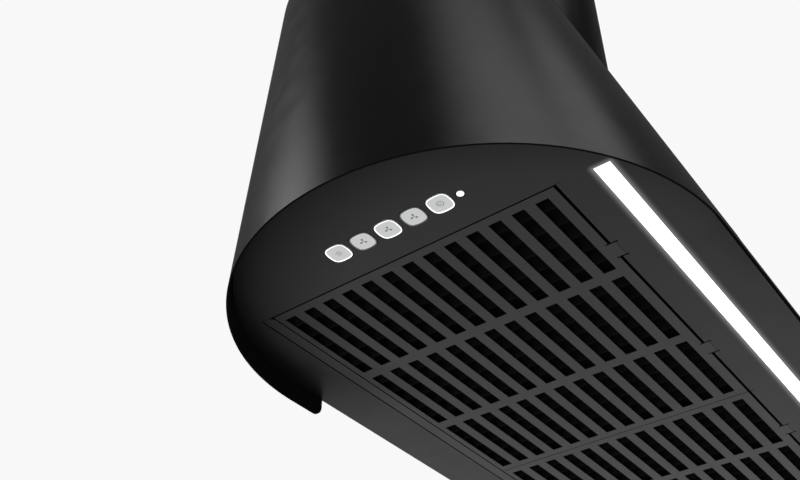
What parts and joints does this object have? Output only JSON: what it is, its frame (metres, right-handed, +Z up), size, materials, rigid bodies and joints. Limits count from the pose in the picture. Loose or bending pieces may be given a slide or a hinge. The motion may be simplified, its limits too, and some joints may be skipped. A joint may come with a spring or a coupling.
{
  "type": "chimney range hood",
  "caption": "Wall-mounted kitchen extractor: tapered capsule canopy, round telescopic chimney, slotted grease filters that tip down, light bar and push buttons.",
  "frame": {"origin": "midpoint of the two wall screw holes, on the wall plane at the back of the canopy, 300 mm above the canopy's lower edge", "axes": "+X along the wall to the right for someone facing the hood, +Y into the wall, +Z up"},
  "size_m": [0.9, 0.394, 0.8538],
  "materials": {
    "satin_black_steel": "satin",
    "panel_black_steel": "satin",
    "galvanized_steel": "satin",
    "aluminium_mesh": "satin",
    "spring_steel": "satin",
    "opal_diffuser": "satin",
    "button_grey": "satin",
    "black_plastic": "satin",
    "circuit_board": "satin",
    "motor_casting": "satin"
  },
  "bodies": {
    "canopy": {"back_plate": "galvanized_steel", "blower_housing_left": "galvanized_steel", "blower_housing_right": "galvanized_steel", "bracket_screws": "spring_steel", "button_carrier": "black_plastic", "button_lamp_ring": "opal_diffuser", "button_speed_high_ring": "opal_diffuser", "button_speed_low_ring": "opal_diffuser", "button_speed_medium_ring": "opal_diffuser", "button_timer_ring": "opal_diffuser", "canopy_shell": "satin_black_steel", "canopy_top": "satin_black_steel", "chimney_clips": "galvanized_steel", "chimney_lower": "satin_black_steel", "control_board": "circuit_board", "control_box": "galvanized_steel", "control_box_lid": "galvanized_steel", "cord_gland": "black_plastic", "exhaust_collar": "black_plastic", "filter_catches": "spring_steel", "filter_rail": "panel_black_steel", "flap_pin": "spring_steel", "housing_screws": "spring_steel", "indicator_lens": "opal_diffuser", "joint_strips": "galvanized_steel", "light_board": "circuit_board", "light_channel": "aluminium_mesh", "light_diffuser": "opal_diffuser", "light_driver": "black_plastic", "light_end_caps": "black_plastic", "motor": "motor_casting", "motor_bracket": "galvanized_steel", "outlet_adapter": "galvanized_steel", "panel_ledge": "galvanized_steel", "panel_nuts": "spring_steel", "roof_screws": "spring_steel", "run_capacitor": "black_plastic", "switch_board": "circuit_board", "tact_switches": "black_plastic", "underside_panel": "panel_black_steel"},
    "button_lamp": {"button_lamp": "button_grey"},
    "button_speed_low": {"button_speed_low": "button_grey"},
    "button_speed_medium": {"button_speed_medium": "button_grey"},
    "button_speed_high": {"button_speed_high": "button_grey"},
    "button_timer": {"button_timer": "button_grey"},
    "filter_left": {"filter_left_tray": "panel_black_steel", "filter_left_mesh": "aluminium_mesh", "filter_left_grid": "aluminium_mesh"},
    "filter_right": {"filter_right_tray": "panel_black_steel", "filter_right_mesh": "aluminium_mesh", "filter_right_grid": "aluminium_mesh"},
    "blower_wheel": {"impeller": "black_plastic", "motor_shaft": "spring_steel"},
    "flap_left": {"flap_left": "black_plastic"},
    "flap_right": {"flap_right": "black_plastic"},
    "chimney_upper": {"chimney_upper": "satin_black_steel", "chimney_bracket": "galvanized_steel"}
  },
  "joints": [
    {"name": "button_lamp_press", "type": "slide", "parent": "canopy", "child": "button_lamp", "axis": [0, 0, 1], "range_m": [0, 0.001], "stiffness_N_per_m": 600, "springref_m": -0.0008},
    {"name": "button_speed_low_press", "type": "slide", "parent": "canopy", "child": "button_speed_low", "axis": [0, 0, 1], "range_m": [0, 0.001], "stiffness_N_per_m": 600, "springref_m": -0.0008},
    {"name": "button_speed_medium_press", "type": "slide", "parent": "canopy", "child": "button_speed_medium", "axis": [0, 0, 1], "range_m": [0, 0.001], "stiffness_N_per_m": 600, "springref_m": -0.0008},
    {"name": "button_speed_high_press", "type": "slide", "parent": "canopy", "child": "button_speed_high", "axis": [0, 0, 1], "range_m": [0, 0.001], "stiffness_N_per_m": 600, "springref_m": -0.0008},
    {"name": "button_timer_press", "type": "slide", "parent": "canopy", "child": "button_timer", "axis": [0, 0, 1], "range_m": [0, 0.001], "stiffness_N_per_m": 600, "springref_m": -0.0008},
    {"name": "filter_left_drop", "type": "hinge", "parent": "canopy", "child": "filter_left", "pos_m": [0, -0.0551, -0.282], "axis": [1, 0, 0], "range_deg": [0, 75]},
    {"name": "filter_right_drop", "type": "hinge", "parent": "canopy", "child": "filter_right", "pos_m": [0, -0.0551, -0.282], "axis": [1, 0, 0], "range_deg": [0, 75]},
    {"name": "blower_wheel_spin", "type": "hinge", "parent": "canopy", "child": "blower_wheel", "pos_m": [0, -0.20413, -0.135], "axis": [1, 0, 0], "continuous": true},
    {"name": "flap_left_swing", "type": "hinge", "parent": "canopy", "child": "flap_left", "pos_m": [0, -0.1175, 0.0935], "axis": [0, 1, 0], "range_deg": [0, 75]},
    {"name": "flap_right_swing", "type": "hinge", "parent": "canopy", "child": "flap_right", "pos_m": [0, -0.1175, 0.0935], "axis": [0, -1, 0], "range_deg": [0, 75]},
    {"name": "chimney_upper_slide", "type": "slide", "parent": "canopy", "child": "chimney_upper", "axis": [0, 0, 1], "range_m": [0, 0.3]}
  ]
}
